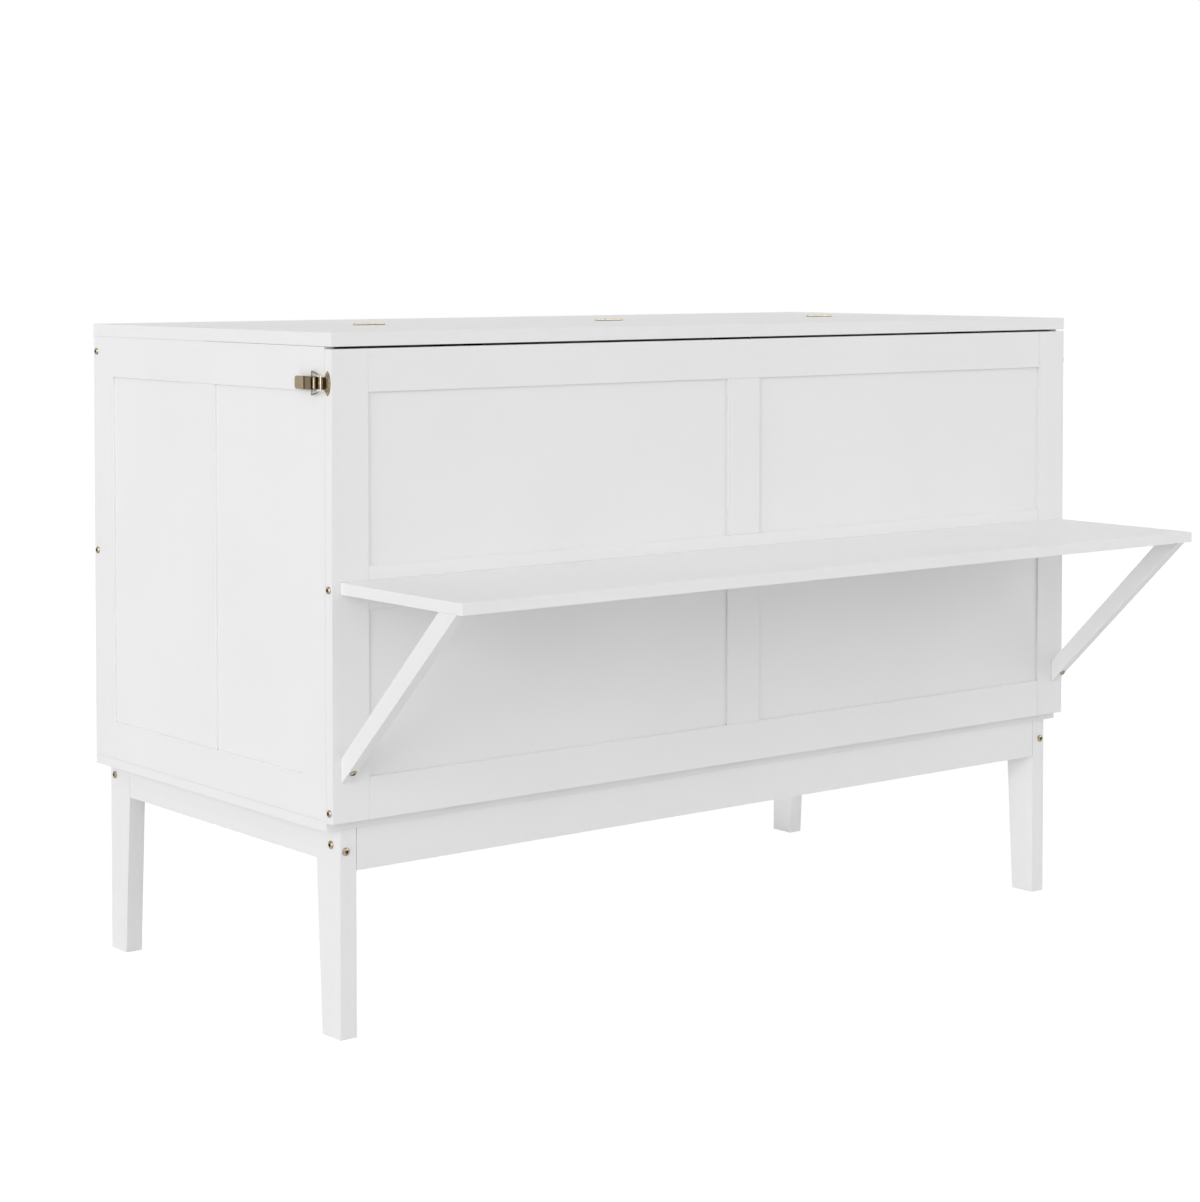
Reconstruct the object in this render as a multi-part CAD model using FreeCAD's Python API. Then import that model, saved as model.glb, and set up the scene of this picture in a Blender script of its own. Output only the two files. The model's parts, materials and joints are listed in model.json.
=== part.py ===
import FreeCAD, Part
import math
import os

V = FreeCAD.Vector

# Cabinet body, all lengths in millimetres
cabinet_width = 1626.0
cabinet_depth = 743.0
cabinet_height = 1078.0
board = 18.0
top_thickness = 21.0
edge_round = 0.8
cut_overrun = 5.0
body_gap = 0.6
rest_gap = 0.3

# Legs and the frame under the cabinet
leg_height = 323.0
leg_width = 30.0
leg_depth_top = 65.5
leg_depth_foot = 50.6
leg_side_inset = 26.0
leg_front_inset = 2.0
leg_rear_inset = 3.0
end_apron_height = 66.0
end_apron_thickness = 30.0
end_apron_gap = 0.6
side_apron_height = 53.5
side_apron_thickness = 19.0
side_apron_recess = 1.0
centre_rail_width = 60.0
centre_rail_height = 25.0

# Base boards, on which the mattress lies
base_thickness = 16.0
base_seam_depth = 375.0

# Side frames: framed panels whose infill lies a little back
side_front_stile_width = 69.5
side_centre_stile_width = 70.0
side_rear_stile_width = 68.0
side_centre_stile_from_rear = 333.0
side_bottom_rail_width = 64.0
side_top_rail_width = 68.0
infill_recess = 4.0

# Back frame
back_inset = 2.0
back_stile_width = 68.0
back_rail_width = 68.0

# Lid and the board behind it
lid_depth = 373.0
lid_seam_gap = 0.3

# Front panel
front_top_gap = 3.4
front_lip = 2.0
front_stile_width = 67.0
front_rail_width = 66.0
front_middle_rail_rise = 321.0
front_centre_stile_width = 72.0
front_centre_stile_offset = 13.0

# Shelf and its braces
shelf_left_inset = 15.0
shelf_right_inset = 11.0
shelf_depth = 313.4
shelf_top_rise = 365.4
brace_thickness = 18.0
brace_foot_rise = 60.3
brace_foot_height = 38.5
brace_front_inset = 13.4
brace_top_width = 45.3

# Foot section, folded behind the front panel
foot_side_gap = 15.0
foot_end_rise = 105.0
foot_thickness = 40.0
foot_fold_gap = 1.0
foot_rail_width = 60.0
foot_long_rail_width = 25.0
slat_thickness = 12.0
slat_width = 60.0
slat_count = 5

# Leg frame at the free end of the foot section
foot_leg_width = 40.0
foot_leg_thickness = 30.0
foot_leg_side_inset = 40.0
foot_leg_axis_inset = 32.0
foot_leg_fold_gap = 1.0
foot_leg_floor_gap = 1.0
foot_leg_end_gap = 0.3
foot_leg_bar_width = 60.0
foot_leg_bar_thickness = 18.0
foot_leg_bar_rise = 170.0

# Butt hinges: sheet, knuckles and pins
leaf_thickness = 1.2
knuckle_gap = 0.4
pin_radius = 1.0
pin_clearance = 0.05
lid_hinge_length = 62.0
lid_hinge_leaf_width = 18.0
lid_hinge_radius = 2.0
lid_hinge_rise = 1.4
lid_hinge_end_inset = 297.0
lid_hinge_offset = 21.0
drop_hinge_length = 80.0
drop_hinge_leaf_width = 26.0
drop_hinge_radius = 3.0
drop_hinge_end_inset = 253.0
leg_hinge_length = 34.0
leg_hinge_leaf_width = 22.0

# Round-head bolts with a hexagonal socket; those in the legs are a size larger
bolt_head_radius = 5.7
bolt_shank_radius = 2.2
bolt_socket_radius = 2.7
leg_bolt_head_radius = 6.4
leg_bolt_shank_radius = 2.9
leg_bolt_socket_radius = 2.9
bolt_head_height = 2.8
bolt_head_rim = 0.9
bolt_socket_depth = 2.2
bolt_clearance = 0.05
side_bolt_length = 55.0
front_edge_bolt_length = 90.0
brace_bolt_length = 40.0
brace_bolt_distance = 27.0
leg_side_bolt_length = 50.0
leg_end_bolt_length = 85.0
side_bolt_drop = 47.0
front_edge_bolt_rise = 16.0
front_leg_side_bolt_depth = 24.6
rear_leg_side_bolt_depth = 15.0
front_leg_side_bolt_drop = 26.6
rear_leg_side_bolt_drop = 21.2
leg_end_bolt_inset = 10.7
leg_end_bolt_drop = 34.5

# Countersunk screws that hold the shelf from behind
shelf_screw_radius = 2.0
shelf_screw_head_radius = 4.0
shelf_screw_head_depth = 2.2
shelf_screw_length = 45.0
shelf_screw_count = 5
shelf_screw_end_inset = 130.0

# Draw latches on both sides; "out" is the distance from the side face
latch_drop = 76.0
latch_sheet = 1.2
latch_half_height = 10.0
catch_height = 38.0
catch_width = 17.0
catch_edge_inset = 0.7
catch_hook_radius = 3.0
catch_hook_lift = 0.4
catch_hook_half_height = 9.5
latch_base_start = 25.0
latch_base_end = 62.0
latch_base_half_height = 9.0
latch_pivot_depth = 40.0
latch_pivot_out = 4.2
latch_barrel_radius = 2.6
latch_barrel_half_height = 8.4
latch_web_thickness = 3.0
latch_pin_radius = 1.1
latch_pin_overhang = 0.8
lever_plate_start = 44.0
lever_plate_end = 64.0
lever_plate_out = 7.2
lever_side_end = 60.0
lever_side_out = 2.6
lever_tab_start = 62.0
lever_tab_end = 87.0
lever_tab_out = 7.8
lever_tab_thickness = 1.6
lever_tab_corner = 5.0
bail_wire_radius = 1.1
bail_depth = 45.0
bail_out = 5.4
bail_wide_half_height = 18.0
bail_narrow_half_height = 11.5
bail_bar_depth = 16.5
latch_screw_radius = 2.6
latch_screw_height = 1.0
latch_screw_half_spacing = 8.5
latch_base_screw_inset = 8.0
latch_base_screw_spacing = 24.0

# Places that follow from the sizes above
half_width = cabinet_width / 2
base_top = leg_height + base_thickness
side_top = cabinet_height - top_thickness
front_face_of_sides = board + body_gap
front_bottom = base_top - front_lip
front_top = side_top - front_top_gap
middle_rail_bottom = front_bottom + front_middle_rail_rise
shelf_top = front_bottom + shelf_top_rise
shelf_bottom = shelf_top - board
shelf_left = shelf_left_inset - half_width
shelf_right = half_width - shelf_right_inset
legs_front = front_face_of_sides + leg_front_inset
legs_rear = cabinet_depth - leg_rear_inset
drop_axis = (board + body_gap / 2, front_bottom)
lid_axis = (lid_depth, cabinet_height + lid_hinge_rise)
foot_face = board + foot_fold_gap
foot_back = foot_face + foot_thickness
foot_width = cabinet_width - 2 * (board + foot_side_gap)
foot_end = base_top + foot_end_rise
foot_axis = (board + foot_fold_gap / 2, front_top + rest_gap)
leg_axis = (foot_back + foot_leg_fold_gap / 2, foot_end + foot_leg_axis_inset)
deck_height = front_bottom + board - drop_axis[0]
foot_leg_reach = deck_height - foot_thickness - foot_leg_fold_gap / 2 - foot_leg_floor_gap
latch_height = cabinet_height - latch_drop
bail_bar_out = catch_hook_lift + 2 * catch_hook_radius + rest_gap + bail_wire_radius

# The origin lies on the floor, at the middle of the whole outline
origin_shift = V(0, (shelf_depth - cabinet_depth) / 2, 0)


def box(low, high):
    return Part.makeBox(high[0] - low[0], high[1] - low[1], high[2] - low[2], V(*low))


def rounded(low, high):
    """A board with softly rounded edges."""
    solid = box(low, high)
    return solid.makeFillet(edge_round, solid.Edges)


def rod(start, end, radius):
    along = end - start
    return Part.makeCylinder(radius, along.Length, start, along)


def mirrored(shape):
    return shape.mirror(V(0, 0, 0), V(1, 0, 0))


def both_sides(shape):
    return [shape, mirrored(shape)]


def x_rod(x_low, x_high, axis, radius):
    return rod(V(x_low, axis[0], axis[1]), V(x_high, axis[0], axis[1]), radius)


def prism_x(outline, x_low, x_high):
    """A solid from an outline of (y, z) points, drawn out along X."""
    points = [V(x_low, y, z) for y, z in outline]
    face = Part.Face(Part.makePolygon(points + points[:1]))
    return face.extrude(V(x_high - x_low, 0, 0))


# Cabinet body

def leg(outer_y, inward):
    """One left leg; it narrows towards the foot on its inner side."""
    left = leg_side_inset - half_width
    taper_top = leg_height - side_apron_height
    outline = [
        (outer_y, 0),
        (outer_y, leg_height),
        (outer_y + inward * leg_depth_top, leg_height),
        (outer_y + inward * leg_depth_top, taper_top),
        (outer_y + inward * leg_depth_foot, 0),
    ]
    solid = prism_x(outline, left, left + leg_width)
    return solid.makeFillet(edge_round, solid.Edges)


def end_apron(outer_y, inward):
    """The apron between two legs at the front or the rear, flush with their end faces."""
    reach = half_width - leg_side_inset - leg_width - end_apron_gap
    ys = sorted([outer_y, outer_y + inward * end_apron_thickness])
    return rounded((-reach, ys[0], leg_height - end_apron_height), (reach, ys[1], leg_height))


def side_apron():
    left = leg_side_inset + side_apron_recess - half_width
    front = legs_front + leg_depth_top
    rear = legs_rear - leg_depth_top
    return rounded((left, front, leg_height - side_apron_height), (left + side_apron_thickness, rear, leg_height))


def centre_rail():
    reach = half_width - leg_side_inset - side_apron_recess - side_apron_thickness
    low = (-reach, base_seam_depth - centre_rail_width / 2, leg_height - centre_rail_height)
    return rounded(low, (reach, base_seam_depth + centre_rail_width / 2, leg_height))


def base_board(front, rear):
    return rounded((-half_width, front, leg_height), (half_width, rear, base_top))


def side_frame():
    """The left side: three stiles, two rails between them and two infill panels."""
    outer = -half_width
    inner = outer + board
    rail_low = base_top + side_bottom_rail_width
    rail_high = side_top - side_top_rail_width
    centre_rear = cabinet_depth - side_centre_stile_from_rear
    spans = {
        "side_front_stile": (front_face_of_sides, front_face_of_sides + side_front_stile_width),
        "side_centre_stile": (centre_rear - side_centre_stile_width, centre_rear),
        "side_rear_stile": (cabinet_depth - side_rear_stile_width, cabinet_depth),
    }
    pieces = {}
    for name in ("side_front_stile", "side_rear_stile"):
        low_y, high_y = spans[name]
        pieces[name] = [rounded((outer, low_y, base_top), (inner, high_y, side_top))]
    low_y, high_y = spans["side_centre_stile"]
    pieces["side_centre_stile"] = [rounded((outer, low_y, rail_low), (inner, high_y, rail_high))]
    rail_front = spans["side_front_stile"][1]
    rail_rear = spans["side_rear_stile"][0]
    pieces["side_rails"] = [
        rounded((outer, rail_front, base_top), (inner, rail_rear, rail_low)),
        rounded((outer, rail_front, rail_high), (inner, rail_rear, side_top)),
    ]
    infill_out = outer + infill_recess
    pieces["side_panels"] = [
        box((infill_out, rail_front, rail_low), (inner, low_y, rail_high)),
        box((infill_out, high_y, rail_low), (inner, rail_rear, rail_high)),
    ]
    return pieces


def back_frame():
    """The back: three stiles, two rails and two infill panels, between the sides."""
    reach = half_width - board
    rear = cabinet_depth - back_inset
    front = rear - board
    inner = reach - back_stile_width
    half_stile = back_stile_width / 2
    rail_low = base_top + back_rail_width
    rail_high = side_top - back_rail_width
    stile = rounded((-reach, front, base_top), (-inner, rear, side_top))
    infill = box((-inner, front, rail_low), (-half_stile, rear - infill_recess, rail_high))
    return {
        "back_stiles": both_sides(stile) + [rounded((-half_stile, front, rail_low), (half_stile, rear, rail_high))],
        "back_rails": [
            rounded((-inner, front, base_top), (inner, rear, rail_low)),
            rounded((-inner, front, rail_high), (inner, rear, side_top)),
        ],
        "back_panels": both_sides(infill),
    }


# Front panel, shelf and braces

def front_frame():
    """The front: two full stiles, three rails, a divided centre stile and four infill panels."""
    inner = half_width - front_stile_width
    middle_low = front_centre_stile_offset - front_centre_stile_width / 2
    middle_high = middle_low + front_centre_stile_width
    rail_bottoms = [front_bottom, middle_rail_bottom, front_top - front_rail_width]
    rails = [rounded((-inner, 0, low), (inner, board, low + front_rail_width)) for low in rail_bottoms]
    stile = rounded((-half_width, 0, front_bottom), (-inner, board, front_top))
    stiles = []
    infills = []
    for lower, upper in zip(rail_bottoms, rail_bottoms[1:]):
        low = lower + front_rail_width
        stiles.append(rounded((middle_low, 0, low), (middle_high, board, upper)))
        infills.append(box((-inner, infill_recess, low), (middle_low, board, upper)))
        infills.append(box((middle_high, infill_recess, low), (inner, board, upper)))
    return {
        "front_stile_left": [stile],
        "front_stile_right": [mirrored(stile)],
        "front_bottom_rail": rails[:1],
        "front_middle_rail": rails[1:2],
        "front_top_rail": rails[2:],
        "front_centre_stiles": stiles,
        "front_panels": infills,
    }


def shelf():
    return rounded((shelf_left, -shelf_depth, shelf_bottom), (shelf_right, 0, shelf_top))


def brace(left):
    """A slanting brace from the front panel up to the shelf."""
    foot = front_bottom + brace_foot_rise
    tip = brace_front_inset - shelf_depth
    outline = [(0, foot), (tip, shelf_bottom), (tip + brace_top_width, shelf_bottom), (0, foot + brace_foot_height)]
    solid = prism_x(outline, left, left + brace_thickness)
    return solid.makeFillet(edge_round, solid.Edges)


# Foot section and its leg frame

def foot_cross_rail(low_z):
    reach = foot_width / 2
    return rounded((-reach, foot_face, low_z), (reach, foot_back, low_z + foot_rail_width))


def foot_long_rails():
    low_z = foot_end + foot_rail_width
    high_z = front_top - foot_rail_width
    reach = (foot_width - foot_long_rail_width) / 2
    half = foot_long_rail_width / 2
    front = foot_face + slat_thickness
    return [rounded((x - half, front, low_z), (x + half, foot_back, high_z)) for x in (-reach, 0, reach)]


def foot_slats():
    low_z = foot_end + foot_rail_width
    span = front_top - foot_rail_width - low_z
    gap = (span - slat_count * slat_width) / (slat_count + 1)
    reach = foot_width / 2
    slats = []
    for number in range(slat_count):
        bottom = low_z + gap + number * (slat_width + gap)
        slats.append(rounded((-reach, foot_face, bottom), (reach, foot_face + slat_thickness, bottom + slat_width)))
    return slats


def foot_leg_post():
    left = foot_leg_side_inset - foot_width / 2
    front = foot_back + foot_leg_fold_gap
    low = leg_axis[1] + foot_leg_end_gap
    high = leg_axis[1] + foot_leg_reach
    return rounded((left, front, low), (left + foot_leg_width, front + foot_leg_thickness, high))


def foot_leg_bar():
    reach = foot_width / 2 - foot_leg_side_inset - foot_leg_width
    front = foot_back + foot_leg_fold_gap
    low = leg_axis[1] + foot_leg_bar_rise
    return rounded((-reach, front, low), (reach, front + foot_leg_bar_thickness, low + foot_leg_bar_width))


# Hinges. A plate is (low y, high y, low z, high z), counted from the hinge's axis.

def knuckle_spans(centre, length, moving):
    """The stretches of the barrel that belong to one half: the middle one moves."""
    third = length / 3
    low = centre - length / 2
    if moving:
        return [(low + third + knuckle_gap / 2, low + 2 * third - knuckle_gap / 2)]
    return [(low, low + third - knuckle_gap / 2), (low + 2 * third + knuckle_gap / 2, low + length)]


def hinge_half(centre, length, axis, radius, plate, moving):
    half = length / 2
    low = (centre - half, axis[0] + plate[0], axis[1] + plate[2])
    solid = box(low, (centre + half, axis[0] + plate[1], axis[1] + plate[3]))
    for start, end in knuckle_spans(centre, length, not moving):
        solid = solid.cut(x_rod(start - knuckle_gap, end + knuckle_gap, axis, radius + knuckle_gap))
    for start, end in knuckle_spans(centre, length, moving):
        solid = solid.fuse(x_rod(start, end, axis, radius))
    bore = x_rod(centre - half - cut_overrun, centre + half + cut_overrun, axis, pin_radius + pin_clearance)
    return solid.cut(bore).removeSplitter()


def hinge_pin(centre, length, axis):
    return x_rod(centre - length / 2, centre + length / 2, axis, pin_radius)


def hinge_room(centre, length, axis, radius):
    """The round notch that the barrel turns in."""
    half = length / 2 + knuckle_gap
    return x_rod(centre - half, centre + half, axis, radius + knuckle_gap)


def plate_room(centre, length, axis, plate):
    """The shallow seat that a leaf is let into."""
    half = length / 2
    low = (centre - half, axis[0] + plate[0], axis[1] + plate[2])
    return box(low, (centre + half, axis[0] + plate[1], axis[1] + plate[3]))


class HingeSet:
    """Several equal hinges on one axis."""

    def __init__(self, centres, length, axis, radius, fixed_plate, moving_plate):
        self.centres = centres
        self.length = length
        self.axis = axis
        self.radius = radius
        self.fixed_plate = fixed_plate
        self.moving_plate = moving_plate

    def fixed_leaves(self):
        pieces = []
        for centre in self.centres:
            pieces.append(hinge_half(centre, self.length, self.axis, self.radius, self.fixed_plate, False))
            pieces.append(hinge_pin(centre, self.length, self.axis))
        return pieces

    def moving_leaves(self):
        return [
            hinge_half(centre, self.length, self.axis, self.radius, self.moving_plate, True)
            for centre in self.centres
        ]

    def rooms(self):
        cuts = []
        for centre in self.centres:
            cuts.append(hinge_room(centre, self.length, self.axis, self.radius))
            cuts.append(plate_room(centre, self.length, self.axis, self.fixed_plate))
            cuts.append(plate_room(centre, self.length, self.axis, self.moving_plate))
        return cuts


def spread(end_inset, offset=0):
    spacing = half_width - end_inset
    return [offset - spacing, offset, offset + spacing]


def lid_hinges():
    """Hinges whose leaves are let in flush with the top, with the barrel above the seam."""
    flush = -lid_hinge_rise
    fixed = (0, lid_hinge_leaf_width, flush - leaf_thickness, flush)
    moving = (-lid_hinge_leaf_width, 0, flush + rest_gap - leaf_thickness, flush + rest_gap)
    centres = spread(lid_hinge_end_inset, lid_hinge_offset)
    return HingeSet(centres, lid_hinge_length, lid_axis, lid_hinge_radius, fixed, moving)


def drop_hinges():
    """Hinges between the base board's top and the front panel's inner face."""
    top = base_top - drop_axis[1]
    face = board - drop_axis[0]
    fixed = (0, drop_hinge_leaf_width, top - leaf_thickness, top)
    moving = (face - leaf_thickness, face, 0, drop_hinge_leaf_width)
    return HingeSet(spread(drop_hinge_end_inset), drop_hinge_length, drop_axis, drop_hinge_radius, fixed, moving)


def foot_hinges():
    """Hinges between the front panel's inner face and the foot section."""
    half_gap = foot_fold_gap / 2
    fixed = (-half_gap - leaf_thickness, -half_gap, -drop_hinge_leaf_width, 0)
    moving = (half_gap, half_gap + leaf_thickness, -drop_hinge_leaf_width, 0)
    return HingeSet(spread(drop_hinge_end_inset), drop_hinge_length, foot_axis, drop_hinge_radius, fixed, moving)


def leg_hinges():
    """Hinges between the foot section's end rail and its leg posts."""
    half_gap = foot_leg_fold_gap / 2
    fixed = (-half_gap - leaf_thickness, -half_gap, 0, leg_hinge_leaf_width)
    moving = (half_gap, half_gap + leaf_thickness, 0, leg_hinge_leaf_width)
    centre = foot_width / 2 - foot_leg_side_inset - foot_leg_width / 2
    return HingeSet([-centre, centre], leg_hinge_length, leg_axis, drop_hinge_radius, fixed, moving)


# Bolts and screws

class BoltSize:
    """The measures of a round-head bolt with a hexagonal socket."""

    def __init__(self, head_radius, shank_radius, socket_radius):
        self.head_radius = head_radius
        self.shank_radius = shank_radius
        self.socket_radius = socket_radius

    def head(self):
        """A round head with a low rim, standing on Z = 0."""
        top = V(0, 0, bolt_head_height)
        rim = V(self.head_radius, 0, bolt_head_rim)
        share = math.sqrt(0.5)
        middle = V(self.head_radius * share, 0, bolt_head_rim + (bolt_head_height - bolt_head_rim) * share)
        edges = [
            Part.LineSegment(V(0, 0, 0), V(self.head_radius, 0, 0)).toShape(),
            Part.LineSegment(V(self.head_radius, 0, 0), rim).toShape(),
            Part.Arc(rim, middle, top).toShape(),
            Part.LineSegment(top, V(0, 0, 0)).toShape(),
        ]
        return Part.Face(Part.Wire(edges)).revolve(V(0, 0, 0), V(0, 0, 1), 360)

    def socket(self):
        floor = bolt_head_height - bolt_socket_depth
        turns = [math.radians(step) for step in range(0, 360, 60)]
        corners = [V(self.socket_radius * math.cos(turn), self.socket_radius * math.sin(turn), floor) for turn in turns]
        return Part.Face(Part.makePolygon(corners + corners[:1])).extrude(V(0, 0, bolt_head_height))

    def solid(self, seat, inward, length):
        """A bolt whose shank points inward from its seat."""
        shank = rod(V(0, 0, 0), V(0, 0, -length), self.shank_radius)
        made = self.head().cut(self.socket()).fuse(shank)
        made.Placement = FreeCAD.Placement(seat, FreeCAD.Rotation(V(0, 0, 1), inward * -1))
        return made

    def hole(self, seat, inward, length):
        return rod(seat, seat + inward * (length + bolt_clearance), self.shank_radius + bolt_clearance)


small_bolt = BoltSize(bolt_head_radius, bolt_shank_radius, bolt_socket_radius)
leg_bolt = BoltSize(leg_bolt_head_radius, leg_bolt_shank_radius, leg_bolt_socket_radius)


def flat_screw(seat, inward, length, clearance=0):
    """A countersunk screw, or with a clearance the hole for it."""
    depth = shelf_screw_head_depth
    head = Part.makeCone(shelf_screw_head_radius + clearance, shelf_screw_radius + clearance, depth, seat, inward)
    return head.fuse(rod(seat, seat + inward * length, shelf_screw_radius + clearance))


class BoltSet:
    """Bolts of one size, each as a seat, an inward direction and a length."""

    def __init__(self, places, size):
        self.places = places
        self.size = size

    def solids(self):
        return [self.size.solid(*place) for place in self.places]

    def holes(self):
        return [self.size.hole(*place) for place in self.places]


def on_both_sides(places):
    """Repeats left-hand places on the right."""
    twins = [(V(-seat.x, seat.y, seat.z), V(-inward.x, inward.y, inward.z), size) for seat, inward, size in places]
    return places + twins


def cabinet_bolts():
    """Bolts through the rear stiles into the back."""
    depth = cabinet_depth - back_inset - board / 2
    heights = [cabinet_height - side_bolt_drop, middle_rail_bottom + front_rail_width / 2]
    places = [(V(-half_width, depth, z), V(1, 0, 0), side_bolt_length) for z in heights]
    return BoltSet(on_both_sides(places), small_bolt)


def leg_bolts():
    """Bolts through each leg's side face and end face into the aprons."""
    side = leg_side_inset - half_width
    bolts = [
        (V(side, legs_front + front_leg_side_bolt_depth, leg_height - front_leg_side_bolt_drop), V(1, 0, 0)),
        (V(side, legs_rear - rear_leg_side_bolt_depth, leg_height - rear_leg_side_bolt_drop), V(1, 0, 0)),
    ]
    places = [(seat, inward, leg_side_bolt_length) for seat, inward in bolts]
    for outer_y, direction in ((legs_front, 1), (legs_rear, -1)):
        seat = V(side + leg_end_bolt_inset, outer_y, leg_height - leg_end_bolt_drop)
        places.append((seat, V(0, direction, 0), leg_end_bolt_length))
    return BoltSet(on_both_sides(places), leg_bolt)


def front_panel_bolts():
    """Bolts through the front stiles into the rails, and square through the braces' undersides into the stiles."""
    heights = [middle_rail_bottom + front_rail_width / 2, front_bottom + front_edge_bolt_rise]
    seats = [V(-half_width, board / 2, z) for z in heights]
    places = on_both_sides([(seat, V(1, 0, 0), front_edge_bolt_length) for seat in seats])
    foot = front_bottom + brace_foot_rise
    along = V(0, brace_front_inset - shelf_depth, shelf_bottom - foot).normalize()
    for x in (shelf_left + brace_thickness / 2, shelf_right - brace_thickness / 2):
        seat = V(x, 0, foot) + along * brace_bolt_distance
        places.append((seat, V(0, along.z, -along.y), brace_bolt_length))
    return BoltSet(places, small_bolt)


def shelf_screws(clearance=0):
    """Countersunk screws from the panel's inner face into the shelf's rear edge."""
    first = shelf_left + shelf_screw_end_inset
    step = (shelf_right - shelf_left - 2 * shelf_screw_end_inset) / (shelf_screw_count - 1)
    seats = [V(first + number * step, board, shelf_bottom + board / 2) for number in range(shelf_screw_count)]
    return [flat_screw(seat, V(0, -1, 0), shelf_screw_length, clearance) for seat in seats]


# Draw latches, built on the left side

def latch_point(out, depth, height):
    return V(-half_width - out, depth, latch_height + height)


def latch_box(outs, depths, half_height):
    low = latch_point(outs[1], depths[0], -half_height)
    high = latch_point(outs[0], depths[1], half_height)
    return box((low.x, low.y, low.z), (high.x, high.y, high.z))


def latch_rod(out, depth, half_height, radius):
    return rod(latch_point(out, depth, -half_height), latch_point(out, depth, half_height), radius)


def latch_screw(out, depth, height):
    """A low round head on a latch plate."""
    start = latch_point(out, depth, height)
    disc = Part.makeCylinder(latch_screw_radius, latch_screw_height, start, V(-1, 0, 0))
    outer = [edge for edge in disc.Edges if edge.BoundBox.XMax < start.x - latch_screw_height / 2]
    return disc.makeFillet(latch_screw_height / 2, outer)


def catch_plate():
    """A leaf-shaped plate on the front panel's edge, rolled into a hook at its rear."""
    middle = catch_edge_inset + catch_width / 2
    tips = [latch_point(0, middle, catch_height / 2), latch_point(0, middle, -catch_height / 2)]
    front = Part.Arc(tips[0], latch_point(0, catch_edge_inset, 0), tips[1]).toShape()
    rear = Part.Arc(tips[1], latch_point(0, catch_edge_inset + catch_width, 0), tips[0]).toShape()
    plate = Part.Face(Part.Wire([front, rear])).extrude(V(-latch_sheet, 0, 0))
    tongue = latch_box((0, latch_sheet), (middle, board), catch_hook_half_height)
    hook_out = catch_hook_lift + catch_hook_radius
    ring = latch_rod(hook_out, board, catch_hook_half_height, catch_hook_radius)
    ring = ring.cut(latch_rod(hook_out, board, catch_hook_half_height + cut_overrun, catch_hook_radius - latch_sheet))
    front_half = latch_box((-cut_overrun, 2 * hook_out), (0, board), catch_hook_half_height + cut_overrun)
    return plate.fuse(tongue).fuse(ring.cut(front_half)).removeSplitter()


def catch_pieces():
    middle = catch_edge_inset + catch_width / 2
    heights = (-latch_screw_half_spacing, latch_screw_half_spacing)
    return [catch_plate()] + [latch_screw(latch_sheet, middle, height) for height in heights]


def latch_base():
    """The base plate with the barrel that carries the lever, its pin and its screws."""
    plate = latch_box((0, latch_sheet), (latch_base_start, latch_base_end), latch_base_half_height)
    half_web = latch_web_thickness / 2
    web_depths = (latch_pivot_depth - half_web, latch_pivot_depth + half_web)
    web = latch_box((0, latch_pivot_out), web_depths, latch_barrel_half_height)
    barrel = latch_rod(latch_pivot_out, latch_pivot_depth, latch_barrel_half_height, latch_barrel_radius)
    reach = latch_half_height + latch_pin_overhang
    bore = latch_rod(latch_pivot_out, latch_pivot_depth, reach, latch_pin_radius + pin_clearance)
    pin = latch_rod(latch_pivot_out, latch_pivot_depth, reach, latch_pin_radius)
    first = latch_base_end - latch_base_screw_inset - latch_base_screw_spacing
    depths = (first, first + latch_base_screw_spacing)
    screws = [latch_screw(latch_sheet, depth, 0) for depth in depths]
    return [plate.fuse(web).fuse(barrel).cut(bore).removeSplitter(), pin] + screws


def latch_lever():
    """The lever: a top plate, two folded sides with the pin holes and a rounded finger tab."""
    plate_outs = (lever_plate_out, lever_plate_out + latch_sheet)
    solid = latch_box(plate_outs, (lever_plate_start, lever_plate_end), latch_half_height)
    inner = latch_half_height - latch_sheet
    sides = latch_box((lever_side_out, plate_outs[1]), (latch_pivot_depth, lever_side_end), latch_half_height)
    discs = latch_rod(latch_pivot_out, latch_pivot_depth, latch_half_height, latch_barrel_radius)
    sides = sides.fuse(discs)
    hollow_depths = (latch_pivot_depth - latch_barrel_radius - cut_overrun, lever_side_end + cut_overrun)
    sides = sides.cut(latch_box((-cut_overrun, plate_outs[1] + cut_overrun), hollow_depths, inner))
    tab_outs = (lever_tab_out, lever_tab_out + lever_tab_thickness)
    tab = latch_box(tab_outs, (lever_tab_start, lever_tab_end), latch_half_height)
    ends = [edge for edge in tab.Edges if is_tab_corner(edge)]
    tab = tab.makeFillet(lever_tab_corner, ends)
    solid = solid.fuse(sides).fuse(tab)
    reach = latch_half_height + cut_overrun
    for out, depth, radius in (
        (latch_pivot_out, latch_pivot_depth, latch_pin_radius),
        (bail_out, bail_depth, bail_wire_radius),
    ):
        solid = solid.cut(latch_rod(out, depth, reach, radius + pin_clearance))
    return solid.removeSplitter()


def is_tab_corner(edge):
    """True for the two edges at the tab's free end that run outward."""
    start, end = [vertex.Point for vertex in edge.Vertexes]
    at_end = abs(start.y - lever_tab_end) < pin_clearance and abs(end.y - lever_tab_end) < pin_clearance
    return at_end and abs(start.z - end.z) < pin_clearance


def latch_bail():
    """A bent wire loop from the lever to the hook."""
    inner = latch_half_height - latch_sheet + pin_clearance
    half_path = [
        (bail_out, bail_depth, inner),
        (bail_out, bail_depth, bail_wide_half_height),
        (bail_bar_out, bail_bar_depth, bail_narrow_half_height),
    ]
    path = [latch_point(*place) for place in half_path]
    path += [latch_point(out, depth, -height) for out, depth, height in reversed(half_path)]
    solid = rod(path[0], path[1], bail_wire_radius)
    for start, end in zip(path[1:], path[2:]):
        solid = solid.fuse(rod(start, end, bail_wire_radius)).fuse(Part.makeSphere(bail_wire_radius, start))
    return solid.removeSplitter()


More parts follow.
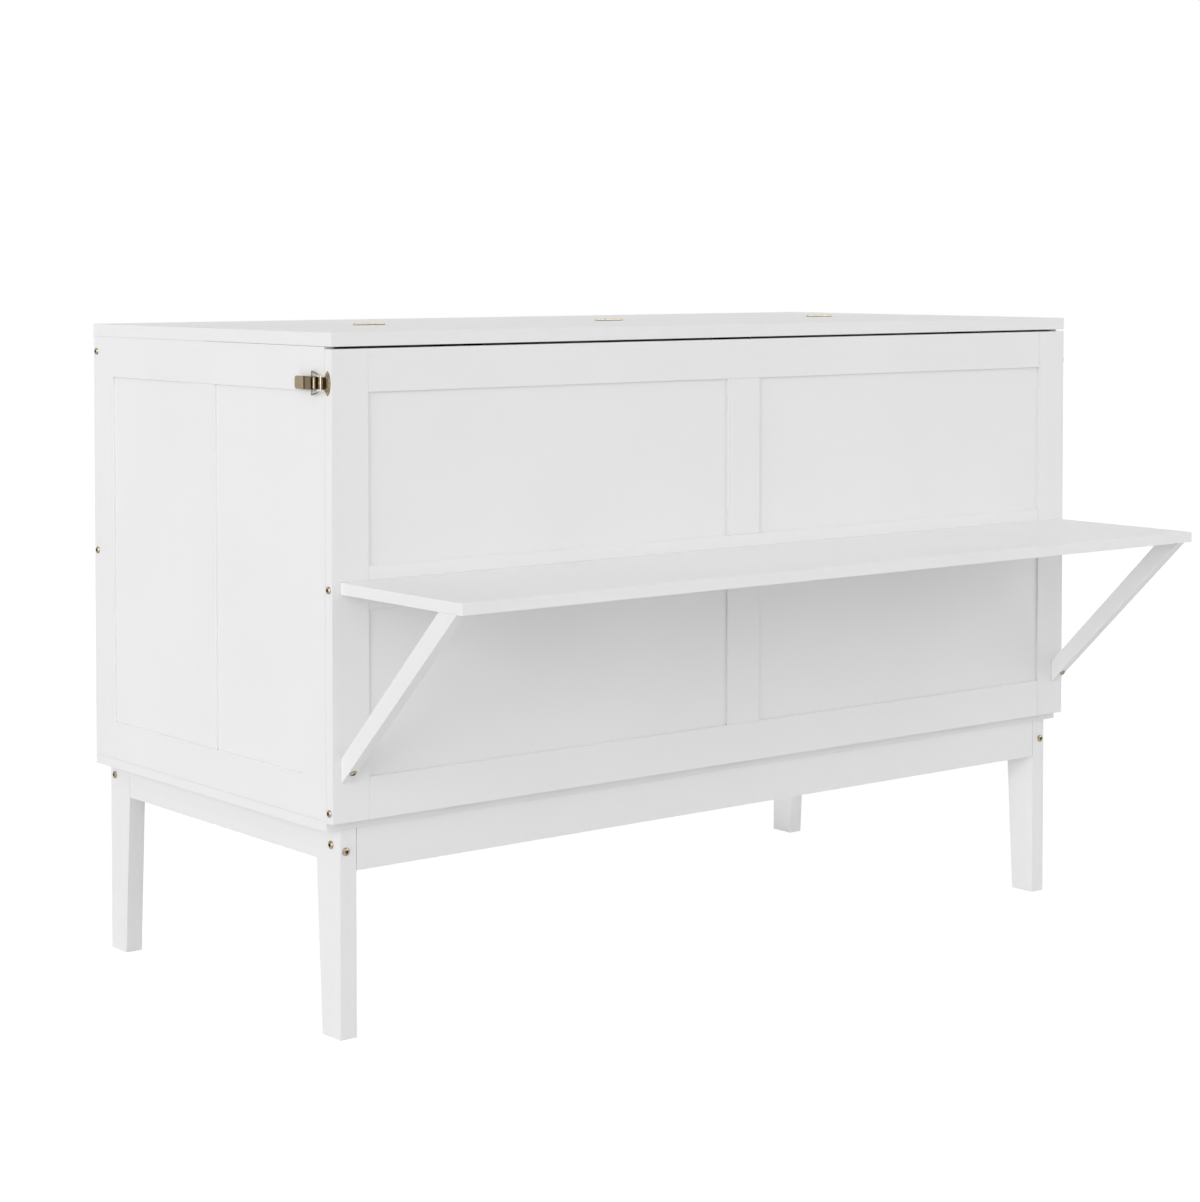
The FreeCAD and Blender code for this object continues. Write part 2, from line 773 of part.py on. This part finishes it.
# Assembly

def drilled(pieces, cuts):
    """Takes the given cuts out of each piece that they meet."""
    result = []
    for piece in pieces:
        for cut in cuts:
            if piece.BoundBox.intersect(cut.BoundBox):
                piece = piece.cut(cut)
        result.append(piece)
    return result


def cabinet_nodes():
    nodes = {
        "leg_front_left": [leg(legs_front, 1)],
        "leg_front_right": [mirrored(leg(legs_front, 1))],
        "leg_rear_left": [leg(legs_rear, -1)],
        "leg_rear_right": [mirrored(leg(legs_rear, -1))],
        "apron_front": [end_apron(legs_front, 1)],
        "apron_rear": [end_apron(legs_rear, -1)],
        "apron_left": [side_apron()],
        "apron_right": [mirrored(side_apron())],
        "base_centre_rail": [centre_rail()],
        "base_board_front": [base_board(front_face_of_sides, base_seam_depth)],
        "base_board_rear": [base_board(base_seam_depth, cabinet_depth)],
        "top_board": [rounded((-half_width, lid_depth + lid_seam_gap / 2, side_top),
                              (half_width, cabinet_depth, cabinet_height))],
    }
    for name, pieces in side_frame().items():
        nodes[name + "_left"] = pieces
        nodes[name + "_right"] = [mirrored(piece) for piece in pieces]
    nodes.update(back_frame())
    cuts = cabinet_bolts().holes() + leg_bolts().holes() + drop_hinges().rooms() + lid_hinges().rooms()
    nodes = {name: drilled(pieces, cuts) for name, pieces in nodes.items()}
    nodes["cabinet_bolts"] = cabinet_bolts().solids()
    nodes["leg_bolts"] = leg_bolts().solids()
    nodes["lid_hinge_fixed_leaves"] = lid_hinges().fixed_leaves()
    nodes["drop_hinge_fixed_leaves"] = drop_hinges().fixed_leaves()
    nodes["latch_bases"] = [solid for piece in latch_base() for solid in both_sides(piece)]
    return nodes


def lid_nodes():
    low = (-half_width, 0, side_top + rest_gap)
    high = (half_width, lid_depth - lid_seam_gap / 2, cabinet_height + rest_gap)
    hinges = lid_hinges()
    return {
        "lid_board": drilled([rounded(low, high)], hinges.rooms()),
        "lid_hinge_moving_leaves": hinges.moving_leaves(),
    }


def front_nodes():
    nodes = front_frame()
    nodes["shelf_board"] = [shelf()]
    nodes["shelf_brace_left"] = [brace(shelf_left)]
    nodes["shelf_brace_right"] = [brace(shelf_right - brace_thickness)]
    cuts = front_panel_bolts().holes() + shelf_screws(bolt_clearance)
    cuts += drop_hinges().rooms() + foot_hinges().rooms()
    nodes = {name: drilled(pieces, cuts) for name, pieces in nodes.items()}
    nodes["front_panel_bolts"] = front_panel_bolts().solids()
    nodes["shelf_screws"] = shelf_screws()
    nodes["drop_hinge_moving_leaves"] = drop_hinges().moving_leaves()
    nodes["foot_hinge_fixed_leaves"] = foot_hinges().fixed_leaves()
    nodes["latch_catches"] = [solid for piece in catch_pieces() for solid in both_sides(piece)]
    return nodes


def foot_nodes():
    nodes = {
        "foot_hinge_rail": [foot_cross_rail(front_top - foot_rail_width)],
        "foot_end_rail": [foot_cross_rail(foot_end)],
        "foot_long_rails": foot_long_rails(),
        "foot_slats": foot_slats(),
    }
    cuts = foot_hinges().rooms() + leg_hinges().rooms()
    nodes = {name: drilled(pieces, cuts) for name, pieces in nodes.items()}
    nodes["foot_hinge_moving_leaves"] = foot_hinges().moving_leaves()
    nodes["leg_hinge_fixed_leaves"] = leg_hinges().fixed_leaves()
    return nodes


def foot_leg_nodes():
    posts = drilled(both_sides(foot_leg_post()), leg_hinges().rooms())
    return {
        "foot_leg_posts": posts,
        "foot_leg_bar": [foot_leg_bar()],
        "leg_hinge_moving_leaves": leg_hinges().moving_leaves(),
    }


def latch_nodes():
    lever = latch_lever()
    bail = latch_bail()
    return {
        "latch_lever_left": [lever],
        "latch_lever_right": [mirrored(lever)],
        "latch_bail_left": [bail],
        "latch_bail_right": [mirrored(bail)],
    }


os.makedirs("parts", exist_ok=True)
for group in (cabinet_nodes(), lid_nodes(), front_nodes(), foot_nodes(), foot_leg_nodes(), latch_nodes()):
    for node, solids in group.items():
        shape = solids[0] if len(solids) == 1 else Part.Compound(solids)
        shape.translate(origin_shift)
        shape.exportStep("parts/" + node + ".step")
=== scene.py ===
import json
import math

import bpy
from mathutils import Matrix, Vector


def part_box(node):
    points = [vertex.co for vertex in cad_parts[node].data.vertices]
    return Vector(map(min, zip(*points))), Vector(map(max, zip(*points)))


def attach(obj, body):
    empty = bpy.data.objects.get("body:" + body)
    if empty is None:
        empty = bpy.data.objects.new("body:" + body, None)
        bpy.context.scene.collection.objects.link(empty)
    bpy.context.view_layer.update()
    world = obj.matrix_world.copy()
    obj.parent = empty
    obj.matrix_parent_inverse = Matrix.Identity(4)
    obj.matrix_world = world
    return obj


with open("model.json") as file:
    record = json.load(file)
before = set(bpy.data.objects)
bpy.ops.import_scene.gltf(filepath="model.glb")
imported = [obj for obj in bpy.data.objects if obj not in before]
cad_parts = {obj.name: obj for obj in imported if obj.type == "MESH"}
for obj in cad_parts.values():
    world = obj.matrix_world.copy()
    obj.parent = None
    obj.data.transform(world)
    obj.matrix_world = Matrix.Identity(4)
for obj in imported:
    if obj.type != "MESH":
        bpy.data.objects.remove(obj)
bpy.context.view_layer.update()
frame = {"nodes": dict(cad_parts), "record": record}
nodes = frame["nodes"]


# Sizes in metres

paint_grain_depth = 0.00006
wood_grain_depth = 0.0002
plating_grain_depth = 0.00003
# How far the painted shade in gaps and recesses reaches, on paint and on metal
paint_shade_reach = 0.003
metal_shade_reach = 0.006

lever_edge_width = 0.0003
latch_plate_edge_width = 0.0002

screw_rise = 0.00025
brass_screw_radius = 0.0024
brass_screw_slot_depth = 0.0005
black_screw_radius = 0.0030
black_screw_slot_depth = 0.0006
lid_leaf_length = 0.062
lid_screw_to_seam = 0.0115
deck_leaf_length = 0.080
deck_screw_inset = 0.010
leg_leaf_length = 0.034
leg_screw_inset = 0.009

floor_reach = 30
floor_clearance = 0.0005
fill_width = 0.55
fill_depth = 0.24
fill_to_leg = 0.14
fill_height = 0.004
camera_place = (-3.0093, -3.6060, 1.1894)

# Places along Y where the wear on the lever's tab, and the painted highlight on the bail's cross bar, begin
# and where they are full

tab_unworn_at = -0.1530
tab_worn_at = -0.1520
bail_unhighlighted_at = -0.1880
bail_highlighted_at = -0.1960

# Angles in degrees, the lens and shares of a length

soft_edge_angle = 50
softbox_spread = 40
camera_down = 2.18
camera_right = 38.64
lens_length = 80.62
lens_shift = -0.1997
screw_shares = (-0.37, 0, 0.37)

upward = (0, 0, 1)
backward = (0, 1, 0)
forward = (0, -1, 0)


def low_of(node):
    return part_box(node)[0]


def high_of(node):
    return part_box(node)[1]


# Materials

class Shader:
    """A node material with short helpers for its nodes and links."""

    def __init__(self, name):
        self.material = bpy.data.materials.new(name)
        self.material.use_nodes = True
        self.tree = self.material.node_tree
        self.nodes = self.tree.nodes
        self.surface = self.nodes["Principled BSDF"]
        coordinates = self.nodes.new("ShaderNodeTexCoord").outputs
        self.place = coordinates["Object"]
        self.facing = coordinates["Normal"]

    def node(self, kind, **inputs):
        made = self.nodes.new(kind)
        for socket, value in inputs.items():
            self.feed(made.inputs[socket.replace("_", " ")], value)
        return made

    def feed(self, socket, value):
        if isinstance(value, bpy.types.NodeSocket):
            self.tree.links.new(value, socket)
        else:
            socket.default_value = value

    def set(self, name, value):
        self.feed(self.surface.inputs[name], value)

    def noise(self, scale, detail=3.0, stretch=(1, 1, 1)):
        mapped = self.node("ShaderNodeMapping", Vector=self.place, Scale=stretch)
        made = self.node("ShaderNodeTexNoise", Vector=mapped.outputs["Vector"], Scale=scale, Detail=detail)
        return made.outputs["Fac"]

    def ramp(self, value, stops):
        """Colours, or greys, along a value."""
        made = self.node("ShaderNodeValToRGB", Fac=value)
        elements = made.color_ramp.elements
        while len(elements) < len(stops):
            elements.new(0.5)
        for element, (position, colour) in zip(elements, stops):
            grey = not isinstance(colour, tuple)
            element.position = position
            element.color = (colour, colour, colour, 1) if grey else (*colour, 1)
        return made.outputs["Color"]

    def multiplied(self, colour, other, share=1.0):
        made = self.nodes.new("ShaderNodeMix")
        made.data_type = "RGBA"
        made.blend_type = "MULTIPLY"
        factor, first, second = (made.inputs[number] for number in (0, 6, 7))
        self.feed(factor, share)
        self.feed(first, colour)
        self.feed(second, other)
        return made.outputs[2]

    def painted_gap_shade(self, colour, reach, darkest, closed_until, open_from):
        """A colour darkened in narrow gaps, corners and recesses by their ambient occlusion: painted shade.
        """
        closed = self.node("ShaderNodeAmbientOcclusion", Distance=reach)
        closed.samples = 8
        amount = self.ramp(closed.outputs["AO"], [(closed_until, darkest), (open_from, 1.0)])
        return self.multiplied(colour, amount)

    def toned(self, colour, vector, axis, tone, toned_at, clear_at):
        """A colour times a tone at one place along an axis of a vector, and unchanged at another."""
        along = self.node("ShaderNodeSeparateXYZ", Vector=vector).outputs[axis]
        share = self.node("ShaderNodeMapRange", Value=along, From_Min=toned_at, From_Max=clear_at)
        return self.multiplied(colour, self.ramp(share.outputs["Result"], [(0.0, tone), (1.0, 1.0)]))

    def bump(self, height, distance, strength):
        made = self.node("ShaderNodeBump", Height=height, Distance=distance, Strength=strength)
        self.set("Normal", made.outputs["Normal"])


def white_paint(name, left_face_shade=1.0):
    """Sprayed satin paint: very fine orange peel and a hardly visible change of tone.

    Left_face_shade is a painted shade: the tone of the faces that look left, which the light from the left
    would otherwise leave too bright.
    """
    shader = Shader(name)
    colour = shader.ramp(shader.noise(3.0, 2.0), [(0.3, 0.845), (0.7, 0.865)])
    if left_face_shade < 1:
        # Painted shade on the faces that look left
        colour = shader.toned(colour, shader.facing, "X", left_face_shade, -1.0, 0.0)
    # Painted shade in narrow gaps and recesses
    shader.set("Base Color", shader.painted_gap_shade(colour, paint_shade_reach, 0.30, 0.05, 0.52))
    shader.set("Roughness", shader.ramp(shader.noise(60.0), [(0.3, 0.46), (0.7, 0.54)]))
    shader.set("Specular IOR Level", 0.2)
    shader.bump(shader.noise(420.0, 2.0), paint_grain_depth, 0.5)
    return shader.material


def pine():
    """Planed pine with its grain along the slats."""
    shader = Shader("pine")
    rings = shader.noise(7.0, 4.0, (0.35, 6, 6))
    grain = shader.noise(60.0, 6.0, (0.05, 3, 3))
    stops = [(0.3, (0.50, 0.33, 0.17)), (0.5, (0.70, 0.52, 0.31)), (0.72, (0.62, 0.43, 0.24))]
    streaks = shader.ramp(grain, [(0.35, 0.72), (0.6, 1.0)])
    shader.set("Base Color", shader.multiplied(shader.ramp(rings, stops), streaks, 0.7))
    shader.set("Roughness", shader.ramp(grain, [(0.3, 0.55), (0.7, 0.68)]))
    shader.bump(grain, wood_grain_depth, 0.6)
    return shader.material


def metal(name, stops, edge, roughness, speckle, wear_and_highlight=None):
    """Plated metal whose colour and gloss change a little from place to place.

    Edge is the tint at grazing angles. Wear_and_highlight is the tone where the metal is dull, the y up to
    which it is
    so, and the y from which it is bright: worn bright on the levers' tabs, a painted highlight on the bails.
    """
    shader = Shader(name)
    colour = shader.ramp(shader.noise(speckle, 4.0), stops)
    if wear_and_highlight:
        colour = shader.toned(colour, shader.place, "Y", *wear_and_highlight)
    low, high = roughness
    shader.set("Metallic", 1.0)
    shader.set("Specular Tint", (*edge, 1))
    # Painted shade, down to black, in gaps and around the heads; partly also the dark patina that old metal
    # keeps in its hollows
    shader.set("Base Color", shader.painted_gap_shade(colour, metal_shade_reach, 0.0, 0.3, 0.85))
    shader.set("Roughness", shader.ramp(shader.noise(speckle * 2), [(0.3, low), (0.7, high)]))
    shader.bump(shader.noise(speckle * 6, 2.0), plating_grain_depth, 0.5)
    return shader.material


def bronze():
    """Antique bronze with a cloudy patina."""
    stops = [(0.32, (0.15, 0.115, 0.075)), (0.5, (0.40, 0.33, 0.225)), (0.66, (0.62, 0.53, 0.39))]
    return metal("bronze", stops, (0.45, 0.38, 0.28), (0.16, 0.30), 700.0)


def polished_brass():
    stops = [(0.3, (0.64, 0.56, 0.42)), (0.7, (0.76, 0.68, 0.54))]
    return metal("polished_brass", stops, (0.74, 0.68, 0.56), (0.20, 0.32), 120.0)


def black_steel():
    stops = [(0.3, (0.02, 0.02, 0.02)), (0.7, (0.05, 0.05, 0.05))]
    return metal("black_steel", stops, (0.5, 0.5, 0.5), (0.35, 0.5), 140.0)


def steel():
    stops = [(0.3, (0.50, 0.50, 0.50)), (0.7, (0.62, 0.62, 0.63))]
    return metal("steel", stops, (0.8, 0.8, 0.8), (0.30, 0.42), 140.0)


def handled_bronze():
    """The levers' bronze, brighter on the tab that fingers hold."""
    stops = [(0.35, (0.30, 0.245, 0.17)), (0.65, (0.46, 0.38, 0.27))]
    wear_and_highlight = (0.60, tab_unworn_at, tab_worn_at)
    return metal("handled_bronze", stops, (0.45, 0.38, 0.28), (0.20, 0.32), 700.0, wear_and_highlight)


def bail_bronze_painted_highlight():
    """The bails' bronze, paler than the rest and darker behind the cross bar, so that the bar carries a
    painted highlight.
    """
    stops = [(0.35, (0.66, 0.56, 0.42)), (0.65, (0.80, 0.70, 0.54))]
    # The darker tone behind the cross bar leaves the bar bright: a painted highlight
    wear_and_highlight = (0.32, bail_unhighlighted_at, bail_highlighted_at)
    return metal("bail_bronze_painted_highlight", stops, (0.70, 0.62, 0.50), (0.16, 0.26), 700.0, wear_and_highlight)


materials = {
    "white_paint": white_paint("white_paint"),
    "pine": pine(),
    "bronze": bronze(),
    "polished_brass": polished_brass(),
    "black_steel": black_steel(),
    "steel": steel(),
}

for subpart in frame["record"]["subparts"]:
    mesh = nodes[subpart["node"]].data
    mesh.materials.clear()
    mesh.materials.append(materials[subpart["material_slot"]])

special_materials = [
    (handled_bronze(), ("latch_lever_left", "latch_lever_right")),
    (bail_bronze_painted_highlight(), ("latch_bail_left", "latch_bail_right")),
    # The stiles' faces that look left get painted shade
    (white_paint("left_edge_painted_shade", 0.80), ("front_centre_stiles", "front_stile_right")),
]
for material, names in special_materials:
    for node in names:
        nodes[node].data.materials[0] = material


# Softer edges on the small latch pieces

def soften(node, width):
    bevel = nodes[node].modifiers.new("soft_edges", "BEVEL")
    bevel.width = width
    bevel.segments = 2
    bevel.limit_method = "ANGLE"
    bevel.angle_limit = math.radians(soft_edge_angle)


soften("latch_lever_left", lever_edge_width)
soften("latch_lever_right", lever_edge_width)
soften("latch_bases", latch_plate_edge_width)
soften("latch_catches", latch_plate_edge_width)


# Small screws in the hinge leaves

def screw_mesh(name, radius, slot_depth, slot):
    """A flat countersunk head with a soft rim and a cross recess, facing +Z."""
    turns = 64
    rings = 14
    half_slot = radius * 0.13
    slot_reach = radius * 0.58
    vertices = [(0, 0, screw_rise - slot_depth)]
    for ring in range(1, rings + 1):
        distance = radius * ring / rings
        fall = (distance / radius) ** 6
        for turn in range(turns):
            angle = 2 * math.pi * turn / turns
            x = distance * math.cos(angle)
            y = distance * math.sin(angle)
            in_slot = min(abs(x), abs(y)) < half_slot and distance < slot_reach
            vertices.append((x, y, screw_rise * (1 - fall) - (slot_depth if in_slot else 0)))
    faces = [(0, 1 + turn, 1 + (turn + 1) % turns) for turn in range(turns)]
    for ring in range(rings - 1):
        start = 1 + ring * turns
        for turn in range(turns):
            after = (turn + 1) % turns
            faces.append((start + turn, start + turns + turn, start + turns + after, start + after))
    mesh = bpy.data.meshes.new(name)
    mesh.from_pydata(vertices, [], faces)
    for polygon in mesh.polygons:
        polygon.use_smooth = True
    mesh.materials.append(materials[slot])
    return mesh


def add_leaf_screws(node, body, hinge, row, facing):
    """Three screws in each of a node's leaves.

    Hinge is the number of leaves, their length and the screw's mesh and slot. Row is the screws' y and z,
    and facing the way that their heads look.
    """
    leaves, length, mesh, slot = hinge
    low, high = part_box(node)
    turn = Vector(upward).rotation_difference(Vector(facing))
    step = (high.x - low.x - length) / (leaves - 1)
    centres = [low.x + length / 2 + number * step for number in range(leaves)]
    places = [centre + share * length for centre in centres for share in screw_shares]
    for number, x in enumerate(places):
        piece = bpy.data.objects.new(f"{node}_screw_{number + 1}", mesh)
        bpy.context.scene.collection.objects.link(piece)
        piece.rotation_mode = "QUATERNION"
        piece.rotation_quaternion = turn
        piece.location = (x, *row)
        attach(piece, body)


brass_screw = screw_mesh("brass_screw", brass_screw_radius, brass_screw_slot_depth, "polished_brass")
black_screw = screw_mesh("black_screw", black_screw_radius, black_screw_slot_depth, "black_steel")
lid_hinge = (3, lid_leaf_length, brass_screw, "polished_brass")
deck_hinge = (3, deck_leaf_length, black_screw, "black_steel")
leg_hinge = (2, leg_leaf_length, black_screw, "black_steel")
seam = (low_of("top_board").y + high_of("lid_board").y) / 2
inner_face = high_of("front_stile_left").y
leaf_rows = [
    ("lid_hinge_fixed_leaves", "cabinet", lid_hinge,
     (seam + lid_screw_to_seam, high_of("top_board").z), upward),
    ("lid_hinge_moving_leaves", "lid", lid_hinge,
     (seam - lid_screw_to_seam, high_of("lid_board").z), upward),
    ("drop_hinge_fixed_leaves", "cabinet", deck_hinge,
     (high_of("drop_hinge_fixed_leaves").y - deck_screw_inset, high_of("base_board_front").z), upward),
    ("drop_hinge_moving_leaves", "front_panel", deck_hinge,
     (inner_face, high_of("drop_hinge_moving_leaves").z - deck_screw_inset), backward),
    ("foot_hinge_fixed_leaves", "front_panel", deck_hinge,
     (inner_face, low_of("foot_hinge_fixed_leaves").z + deck_screw_inset), backward),
    ("foot_hinge_moving_leaves", "foot_section", deck_hinge,
     (low_of("foot_hinge_rail").y, low_of("foot_hinge_moving_leaves").z + deck_screw_inset), forward),
    ("leg_hinge_fixed_leaves", "foot_section", leg_hinge,
     (high_of("foot_end_rail").y, high_of("leg_hinge_fixed_leaves").z - leg_screw_inset), backward),
    ("leg_hinge_moving_leaves", "foot_leg", leg_hinge,
     (low_of("foot_leg_posts").y, high_of("leg_hinge_moving_leaves").z - leg_screw_inset), forward),
]
for leaf_row in leaf_rows:
    add_leaf_screws(*leaf_row)


# Stage

def maths(tree, kind, operation, *inputs):
    """The value of a maths or vector maths node on sockets and numbers."""
    made = tree.nodes.new(kind)
    made.operation = operation
    for socket, given in zip(made.inputs, inputs):
        if isinstance(given, bpy.types.NodeSocket):
            tree.links.new(given, socket)
        else:
            socket.default_value = given
    return made.outputs["Value"]


def seen(tree):
    """One where the camera sees a surface, also mirrored or through glass, and nought for its light."""
    path = tree.nodes.new("ShaderNodeLightPath").outputs
    mirrored = maths(tree, "ShaderNodeMath", "MAXIMUM", path["Is Camera Ray"], path["Is Glossy Ray"])
    return maths(tree, "ShaderNodeMath", "MAXIMUM", mirrored, path["Is Transmission Ray"])


def glowing_matt(shader, grey, glow):
    """A matt grey with a little light of its own."""
    both = shader.node("ShaderNodeAddShader")
    matt = shader.node("ShaderNodeBsdfDiffuse", Color=(grey, grey, grey, 1))
    light = shader.node("ShaderNodeEmission", Strength=glow)
    shader.feed(both.inputs[0], matt.outputs["BSDF"])
    shader.feed(both.inputs[1], light.outputs["Emission"])
    return both.outputs["Shader"]


def floor_material():
    """White where it is seen, with a trace of the object's shadow, and pale for the light that it returns."""
    shader = Shader("floor_white")
    shader.nodes.remove(shader.surface)
    mix = shader.node("ShaderNodeMixShader")
    shader.feed(mix.inputs[0], seen(shader.tree))
    shader.feed(mix.inputs[1], glowing_matt(shader, 0.80, 0.045))
    shader.feed(mix.inputs[2], glowing_matt(shader, 0.22, 0.88))
    shader.feed(shader.nodes["Material Output"].inputs["Surface"], mix.outputs["Shader"])
    return shader.material


def add_floor():
    mesh = bpy.data.meshes.new("floor")
    signs = ((-1, -1), (1, -1), (1, 1), (-1, 1))
    mesh.from_pydata([(x * floor_reach, y * floor_reach, 0) for x, y in signs], [], [(0, 1, 2, 3)])
    mesh.materials.append(floor_material())
    floor = bpy.data.objects.new("floor", mesh)
    floor.location = (0, 0, -floor_clearance)
    bpy.context.scene.collection.objects.link(floor)


def add_world(even, overhead):
    """Even light that grows towards the zenith; white where the world is seen or mirrored."""
    world = bpy.data.worlds.new("studio")
    bpy.context.scene.world = world
    world.use_nodes = True
    tree = world.node_tree
    place = tree.nodes.new("ShaderNodeTexCoord").outputs["Generated"]
    rise = maths(tree, "ShaderNodeVectorMath", "DOT_PRODUCT", place, upward)
    height = maths(tree, "ShaderNodeMath", "MAXIMUM", rise, 0)
    squared = maths(tree, "ShaderNodeMath", "POWER", height, 2)
    strength = maths(tree, "ShaderNodeMath", "MULTIPLY_ADD", squared, overhead, even)
    lit = tree.nodes["Background"]
    white = tree.nodes.new("ShaderNodeBackground")
    for background in (lit, white):
        background.inputs["Color"].default_value = (1, 1, 1, 1)
    tree.links.new(strength, lit.inputs["Strength"])
    mix = tree.nodes.new("ShaderNodeMixShader")
    tree.links.new(seen(tree), mix.inputs[0])
    tree.links.new(lit.outputs["Background"], mix.inputs[1])
    tree.links.new(white.outputs["Background"], mix.inputs[2])
    tree.links.new(mix.outputs["Shader"], tree.nodes["World Output"].inputs["Surface"])


def add_softbox(name, strength, towards):
    """A distant lamp as wide as a softbox, whose light travels in the given direction."""
    lamp = bpy.data.lights.new(name, "SUN")
    lamp.energy = strength
    lamp.angle = math.radians(softbox_spread)
    softbox = bpy.data.objects.new(name, lamp)
    softbox.rotation_euler = Vector(towards).to_track_quat("-Z", "Y").to_euler()
    bpy.context.scene.collection.objects.link(softbox)


def add_fill(power):
    """A low lamp that shines up under the rear base board, to the left of the right leg."""
    lamp = bpy.data.lights.new("fill", "AREA")
    lamp.shape = "RECTANGLE"
    lamp.size = fill_width
    lamp.size_y = fill_depth
    lamp.energy = power
    fill = bpy.data.objects.new("fill", lamp)
    across = low_of("leg_rear_right").x - fill_to_leg - fill_width / 2
    middle = (low_of("base_board_rear").y + high_of("base_board_rear").y) / 2
    fill.location = (across, middle, fill_height)
    fill.rotation_euler = (math.pi, 0, 0)
    fill.visible_camera = False
    fill.visible_glossy = False
    bpy.context.scene.collection.objects.link(fill)


def add_camera():
    lens = bpy.data.cameras.new("camera")
    lens.sensor_width = 36
    lens.lens = lens_length
    lens.shift_y = lens_shift
    camera = bpy.data.objects.new("camera", lens)
    camera.location = camera_place
    camera.rotation_euler = (math.radians(90 - camera_down), 0, math.radians(-camera_right))
    bpy.context.scene.collection.objects.link(camera)
    bpy.context.scene.camera = camera


add_floor()
add_world(0.32, 0.54)
add_softbox("left", 1.44, (1, 0.35, -0.16))
add_softbox("left_high", 0.44, (0.7, 0.8, -0.55))
add_softbox("right", 0.54, (-0.8, 0.7, -0.26))
add_fill(1.1)
add_camera()
bpy.context.scene.view_settings.view_transform = "Standard"
